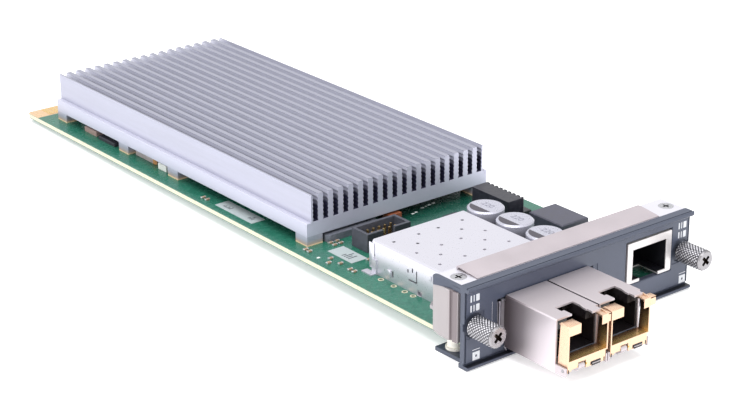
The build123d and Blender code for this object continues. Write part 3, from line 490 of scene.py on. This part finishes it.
# Front panel. One extruded section in slate powder coat with slim lips; its face carries a
# dark printed film with a few plain white marks at both ends.
slate = surface("slate", (0.066, 0.077, 0.112), 0.42, metallic=0.2, grain=2500.0, tone=0.04,
                gloss=0.03, relief=0.006)
# The upper face of the bottom lip lies in the panel's own shade.
region(slate, (0.010, 0.012, 0.018), X=(-38.9, 38.9), Y=(-1.44, 0.05), Z=(0.90, 1.0))
softened("front_panel", "panel", "card", slate, 0.10 * mm)
film = surface("film", (0.066, 0.078, 0.118), 0.33, grain=2500.0, tone=0.03, gloss=0.02,
               relief=0.006)
paint(nodes["face_label"], film)
mark_front = -0.135
mark_back = -0.11
bar_height = 1.8
marks = []
for left, bottom in ((-37.2, 14.9), (-37.2, 17.5), (34.7, 14.9), (34.7, 17.5)):
    for x, w in ((0.0, 0.45), (1.0, 0.3), (1.8, 1.1)):
        marks.append(brick(left + x, left + x + w, mark_front, mark_back, bottom,
                           bottom + bar_height, 0.12, axis=1, segments=1))
# A square ring of four blocks and a line above it.
square = [(0, 0.85, 1.7, 3.9), (1.45, 2.3, 1.7, 3.9), (0.8, 1.5, 1.7, 2.5), (0.8, 1.5, 3.1, 3.9),
          (-0.1, 2.4, 4.45, 4.6)]
for left in (-36.3, 35.9):
    for x0, x1, z0, z1 in square:
        marks.append(brick(left + x0, left + x1, mark_front, mark_back, z0, z1, 0.05, axis=1,
                           segments=1))
white_ink = surface("white_ink", (0.72, 0.74, 0.78), 0.5, grain=2500.0, tone=0.04)
settle(joined(marks), "panel_marks", "card", white_ink)


# Rail, gaskets and rail screws. The rail is bare bright metal; the gaskets are conductive
# cloth folded over foam, woven finely enough to read as a soft satin.
def woven(material, pitch, amount):
    # Bands across all three axes lift the threads wherever the cloth lies.
    tree = material.node_tree
    total = None
    for direction in ("X", "Y", "Z"):
        wave = tree.nodes.new("ShaderNodeTexWave")
        wave.bands_direction = direction
        wave.inputs["Scale"].default_value = math.pi / (10 * pitch * mm)
        tree.links.new(tree.nodes["place"].outputs["Object"], wave.inputs["Vector"])
        if total is None:
            total = wave.outputs["Fac"]
            continue
        add = tree.nodes.new("ShaderNodeMath")
        add.operation = "ADD"
        tree.links.new(total, add.inputs[0])
        tree.links.new(wave.outputs["Fac"], add.inputs[1])
        total = add.outputs[0]
    relief = tree.nodes["relief"]
    relief.inputs["Strength"].default_value = amount
    tree.links.new(total, relief.inputs["Height"])


rail_metal = surface("rail_metal", (0.66, 0.65, 0.71), 0.45, metallic=0.5, grain=3000.0, tone=0.04,
                     relief=0.05)
softened("top_rail", "rail", "card", rail_metal, 0.06 * mm)
cloth = surface("cloth", (0.42, 0.375, 0.40), 0.5, metallic=0.3, grain=120.0, tone=0.05)
woven(cloth, 0.3, 0.25)
# The side gasket's cloth is a darker copy of the top gasket's, as painted shade, and is painted
# darker still in the fold beside the panel.
side_cloth = surface("side_cloth", (0.35, 0.32, 0.33), 0.4, metallic=0.5, grain=150.0,
                     tone=0.05)
region(side_cloth, (0.20, 0.17, 0.18), X=(-39.65, -38.3), Y=(2.2, 4.9))
woven(side_cloth, 0.3, 0.25)
softened("top_gasket", "gasket_sleeve", "card", cloth, 0.10 * mm, segments=3)
softened("side_gasket", "gasket_fold", "card", side_cloth, 0.15 * mm, segments=3)
screw_zinc = surface("screw_zinc", (0.55, 0.55, 0.58), 0.3, metallic=1.0, grain=3000.0, tone=0.06)
# The cross recess of each rail screw lies in the dark.
cross_half = 1.15
for middle in (-35.9, 35.9):
    region(screw_zinc, (0.05, 0.05, 0.06), X=(middle - cross_half, middle + cross_half),
           Y=(4.7, 7.0), Z=(21.3, 21.93))
softened("rail_screws", "rail_screw_heads", "card", screw_zinc, 0.05 * mm)


# Captive thumbscrews. Turned steel with a diamond knurl and a deep cross recess; a spring
# ring holds each one in the panel.
knob_x = 36.0
knob_z = 11.2
knurl_radius = 2.94


def knurl(centre, name, body, material):
    # Rings of points drawn out along the knob, every second point pressed in, on a thin sleeve.
    columns = 40
    rows = 15
    step = 0.5 * mm
    start = -8.55 * mm
    axis_x = centre * mm
    axis_z = knob_z * mm
    pressed = 0.95
    sleeve = 0.9
    bpy.ops.object.select_all(action="DESELECT")
    bpy.ops.mesh.primitive_circle_add(vertices=columns, radius=knurl_radius * mm,
                                      location=(axis_x, start, axis_z),
                                      rotation=(math.pi / 2, 0, 0))
    piece = bpy.context.object
    bpy.ops.object.transform_apply(location=True, rotation=True, scale=True)
    bpy.ops.object.mode_set(mode="EDIT")
    bpy.ops.mesh.select_mode(type="VERT")
    bpy.ops.mesh.select_all(action="SELECT")
    for row in range(rows):
        bpy.ops.mesh.extrude_region_move(TRANSFORM_OT_translate={"value": (0, step, 0)})
    bpy.ops.mesh.select_all(action="DESELECT")
    mesh = bmesh.from_edit_mesh(piece.data)
    for point in mesh.verts:
        angle = math.atan2(point.co.z - axis_z, point.co.x - axis_x)
        column = round(angle * columns / (2 * math.pi))
        row = round((point.co.y - start) / step)
        point.select_set((column + row) % 2 == 1)
    bmesh.update_edit_mesh(piece.data)
    bpy.ops.transform.resize(value=(pressed, 1, pressed), center_override=(axis_x, 0, axis_z))
    bpy.ops.mesh.select_all(action="DESELECT")
    mesh = bmesh.from_edit_mesh(piece.data)
    for point in mesh.verts:
        point.select_set(round((point.co.y - start) / step) in (0, rows))
    mesh.select_flush_mode()
    bmesh.update_edit_mesh(piece.data)
    bpy.ops.mesh.select_mode(type="EDGE")
    bpy.ops.mesh.extrude_region_move()
    bpy.ops.transform.resize(value=(sleeve, 1, sleeve), center_override=(axis_x, 0, axis_z))
    bpy.ops.mesh.bridge_edge_loops()
    bpy.ops.mesh.select_all(action="SELECT")
    bpy.ops.mesh.quads_convert_to_tris(quad_method="SHORTEST_DIAGONAL")
    bpy.ops.object.mode_set(mode="OBJECT")
    settle(piece, name, body, material, angle=8)


steel = surface("steel", (0.34, 0.33, 0.345), 0.28, metallic=1.0, grain=3000.0, tone=0.05)
knurled = surface("knurled", (0.66, 0.65, 0.68), 0.3, metallic=0.9, grain=3000.0, tone=0.05)
# The knurl's grooves are painted dark as shade and its crests keep the bright steel, by the
# distance from its axis.
tree = knurled.node_tree
split = tree.nodes.new("ShaderNodeSeparateXYZ")
tree.links.new(tree.nodes["place"].outputs["Object"], split.inputs[0])
fold = tree.nodes.new("ShaderNodeMath")
fold.operation = "ABSOLUTE"
tree.links.new(split.outputs["X"], fold.inputs[0])
flat = tree.nodes.new("ShaderNodeCombineXYZ")
tree.links.new(fold.outputs[0], flat.inputs["X"])
tree.links.new(split.outputs["Z"], flat.inputs["Z"])
reach = tree.nodes.new("ShaderNodeVectorMath")
reach.operation = "DISTANCE"
reach.inputs[1].default_value = (knob_x * mm, 0, knob_z * mm)
tree.links.new(flat.outputs[0], reach.inputs[0])
crest = tree.nodes.new("ShaderNodeMapRange")
crest.inputs["From Min"].default_value = (knurl_radius - 0.14) * mm
crest.inputs["From Max"].default_value = (knurl_radius - 0.02) * mm
tree.links.new(reach.outputs["Value"], crest.inputs["Value"])
ridge = tree.nodes.new("ShaderNodeMixRGB")
ridge.inputs["Color1"].default_value = (0.05, 0.05, 0.06, 1)
shader = tree.nodes["Principled BSDF"]
tree.links.new(shader.inputs["Base Color"].links[0].from_socket, ridge.inputs["Color2"])
tree.links.new(crest.outputs["Result"], ridge.inputs["Fac"])
tree.links.new(ridge.outputs["Color"], shader.inputs["Base Color"])
recess_half = 1.45
recess_depth = (-9.3, -7.9)
shade_half = 1.9
for side, centre in (("left", -knob_x), ("right", knob_x)):
    # Painted shade inside each knob's cross recess.
    region(steel, (0.09, 0.07, 0.06), X=(centre - shade_half, centre + shade_half),
           Y=(-8.92, -7.2), Z=(knob_z - shade_half, knob_z + shade_half))
    knob = softened(side + "_thumbscrew", side + "_knob", side + "_screw", steel,
                    0.06 * mm)
    cutters = []
    for turn in (45, -45):
        bar = brick(centre - recess_half, centre + recess_half, *recess_depth, knob_z - 0.45,
                    knob_z + 0.45, 0.15)
        bar.rotation_euler = (0, math.radians(turn), 0)
        cutters.append(bar)
    cut_by(knob, cutters)
    knurl(centre, side + "_knurl", side + "_screw", knurled)
    paint(nodes[side + "_retaining_ring"], steel)

# Port modules. Drawn nickel shells over black moulded sockets; each gold bail is folded
# from spring sheet, pale outside, with painted light and shade where it faces itself.
nickel = surface("nickel", (0.54, 0.49, 0.515), 0.40, metallic=0.65, grain=3000.0, tone=0.02,
                 gloss=0.03, relief=0.01)
# The outer side carries a painted reflection of the dark panel near it and a painted
# highlight toward its front; the gap between the two shells is painted dark as shade.
outer_side = (-26.6, -26.0)
region(nickel, (0.15, 0.12, 0.13), fade=("Y", -13.0, -2.0), X=outer_side, Y=(-13.0, 0.0))
region(nickel, (0.70, 0.64, 0.68), fade=("Y", -7.0, -17.0), X=outer_side, Y=(-18.6, -7.0))
region(nickel, (0.03, 0.025, 0.03), X=(-12.5, -11.9), Y=(-18.45, -0.4), Z=(15.6, 16.54))
bail_gold = surface("bail_gold", (0.81, 0.56, 0.395), 0.28, metallic=0.85, grain=3000.0, tone=0.01,
                    gloss=0.02, relief=0.005)
# Inside, the bail is painted a brighter gold as light, with painted shade toward the
# shell and upward.
middles = {"left": -19.325, "right": -5.075}
for middle in middles.values():
    inside = {"X": (middle - 5.95, middle + 6.65), "Y": (-22.1, -18.75), "Z": (4.0, 14.9)}
    region(bail_gold, (0.98, 0.66, 0.28), **inside)
    region(bail_gold, (0.30, 0.16, 0.08), fade=("Y", -21.2, -19.4), **inside)
    region(bail_gold, (0.07, 0.04, 0.025), fade=("Z", 7.0, 12.5), **inside)
    region(bail_gold, (0.62, 0.36, 0.10), X=(middle - 3.0, middle + 0.2), Y=(-22.3, -21.7),
           Z=(4.1, 4.6))
insert_black = surface("insert_black", (0.008, 0.006, 0.007), 0.35, grain=1500.0, tone=0.3)
# The socket's sill catches the light at its front edge.
region(insert_black, (0.14, 0.16, 0.22), fade=("Y", -16.0, -18.3), Y=(-18.6, -16.0),
       Z=(5.9, 6.35))
flap_front = -22.23
latch_shade_front = -22.25
pin_front = -22.32
hook_reaches = {"left": 0.65, "right": 1.75}
for side, middle in middles.items():
    softened(side + "_module_shell", side + "_shell", side + "_module", nickel,
             0.04 * mm)
    paint(nodes[side + "_module_insert"], insert_black)
    paint(nodes[side + "_module_board"], module_green)
    paint(nodes[side + "_bail_pin"], steel)
    bail = softened(side + "_bail", side + "_wire_bail", side + "_bail", bail_gold,
                    0.05 * mm)
    cut_by(bail, [brick(middle + 1.3, middle + 4.7, -22.6, -21.7, 3.4, 4.35, 0.1)])
    # The wing's folded hook and the cap over the tab; then the latch hook in black, which also
    # fills the slot as painted shade, and two thin black tiles at the ends as painted shade of
    # small slots.
    wing = middle + 6.975
    wing_in = wing - 0.15
    wing_out = wing + hook_reaches[side]
    flaps = [brick(wing_in, wing_out, flap_front, -20.2, 15.15, 15.58, 0.05),
             brick(wing_in, wing_out, flap_front, -21.8, 13.3, 15.53, 0.05),
             brick(middle - 6.3, middle - 2.15, flap_front, -18.9, 15.3, 15.62, 0.1)]
    settle(joined(flaps), side + "_bail_flap", side + "_bail", bail_gold)
    latch_and_shades = [brick(middle + 1.6, middle + 5.0, latch_shade_front, -21.4, 2.95, 4.5, 0.35),
             brick(middle - 6.1, middle - 5.75, latch_shade_front, -22.1, 3.3, 4.3, 0.04),
             brick(middle + 5.7, middle + 6.05, latch_shade_front, -22.1, 3.3, 4.3, 0.04)]
    settle(joined(latch_and_shades), side + "_bail_latch_and_shade", side + "_bail", insert_black)
    pin = brick(middle + 1.9, middle + 4.8, pin_front, -22.2, 3.62, 3.8, 0.04)
    settle(pin, side + "_latch_pin", side + "_bail", nickel)

# Network jack. A folded, tinned shield with a wide front frame over a black moulded core;
# the shield's legs are soldered in the board.
jack_tin = surface("jack_tin", (0.70, 0.67, 0.67), 0.35, metallic=0.6, grain=3000.0, tone=0.03,
                   relief=0.04)
softened("jack_shell", "jack_shield", "card", jack_tin, 0.12 * mm)
port_black = surface("port_black", (0.006, 0.006, 0.009), 0.4, grain=1500.0, tone=0.3)
paint(nodes["jack_insert"], port_black)


# Bench, light and camera. The card rests on its panel's lower edge and on the screw heads
# under its rear end, so the bench plane leans a little against the card's own axes.
rest_y = 12.8 * mm
slope = 0.0141
lean = math.atan(slope)
bpy.ops.mesh.primitive_plane_add(size=4.0, location=(0, rest_y, 0), rotation=(lean, 0, 0))
floor = bpy.context.object
floor.name = "bench"
white = bpy.data.materials.new("bench_white")
white.use_nodes = True
shader = white.node_tree.nodes["Principled BSDF"]
shader.inputs["Base Color"].default_value = (0.9, 0.9, 0.9, 1)
shader.inputs["Roughness"].default_value = 0.9
shader.inputs["Emission Color"].default_value = (1, 1, 1, 1)
shader.inputs["Emission Strength"].default_value = 0.35
floor.data.materials.append(white)

# The world lights the object softly and shows white to the camera and in reflections.
world = bpy.data.worlds.new("studio")
bpy.context.scene.world = world
world.use_nodes = True
tree = world.node_tree
tree.nodes.clear()
soft = tree.nodes.new("ShaderNodeBackground")
soft.inputs["Strength"].default_value = 0.55
plain = tree.nodes.new("ShaderNodeBackground")
plain.inputs["Strength"].default_value = 1.0
for node in (soft, plain):
    node.inputs["Color"].default_value = (1, 1, 1, 1)
path = tree.nodes.new("ShaderNodeLightPath")
either = tree.nodes.new("ShaderNodeMath")
either.operation = "MAXIMUM"
both = tree.nodes.new("ShaderNodeMath")
both.operation = "MAXIMUM"
tree.links.new(path.outputs["Is Camera Ray"], either.inputs[0])
tree.links.new(path.outputs["Is Glossy Ray"], either.inputs[1])
tree.links.new(either.outputs[0], both.inputs[0])
tree.links.new(path.outputs["Is Transmission Ray"], both.inputs[1])
mix = tree.nodes.new("ShaderNodeMixShader")
tree.links.new(both.outputs[0], mix.inputs["Fac"])
tree.links.new(soft.outputs[0], mix.inputs[1])
tree.links.new(plain.outputs[0], mix.inputs[2])
out = tree.nodes.new("ShaderNodeOutputWorld")
tree.links.new(mix.outputs[0], out.inputs["Surface"])


def lamp(name, place, aim, size, watts):
    light = bpy.data.lights.new(name, "AREA")
    light.energy = watts
    light.size = size
    holder = bpy.data.objects.new(name, light)
    bpy.context.scene.collection.objects.link(holder)
    holder.location = place
    holder.rotation_euler = (Vector(aim) - Vector(place)).to_track_quat("-Z", "Y").to_euler()


lamp("overhead", (-0.15, 0.05, 0.9), (0, 0.08, 0), 0.9, 9.0)
lamp("left_soft", (-0.8, -0.1, 0.45), (0, 0.05, 0.01), 0.6, 4.0)
lamp("front_soft", (0.15, -0.9, 0.5), (0, 0, 0.01), 0.7, 4.0)

# The camera stands where the photograph was taken from, and looks at the card's middle.
azimuth = math.radians(-38.502)
elevation = math.radians(22.111)
roll = math.radians(-0.239)
distance = 530.463 * mm
target = Vector((-16.966, 60.0, 19.29)) * mm
back = Vector((math.sin(azimuth) * math.cos(elevation), -math.cos(azimuth) * math.cos(elevation),
               math.sin(elevation)))
right = Vector((0, 0, 1)).cross(back).normalized()
up = back.cross(right)
tilted_right = right * math.cos(roll) + up * math.sin(roll)
tilted_up = up * math.cos(roll) - right * math.sin(roll)
turn = Matrix((tilted_right, tilted_up, back)).transposed().to_4x4()
eye = bpy.data.cameras.new("photo_view")
eye.sensor_width = 36.0
eye.lens = 96.53
eye.shift_x = -0.01442
eye.shift_y = -0.00611
eye.clip_start = 0.01
viewer = bpy.data.objects.new("photo_view", eye)
bpy.context.scene.collection.objects.link(viewer)
viewer.matrix_world = Matrix.Translation(target + back * distance) @ turn
bpy.context.scene.camera = viewer
bpy.context.scene.view_settings.view_transform = "Standard"
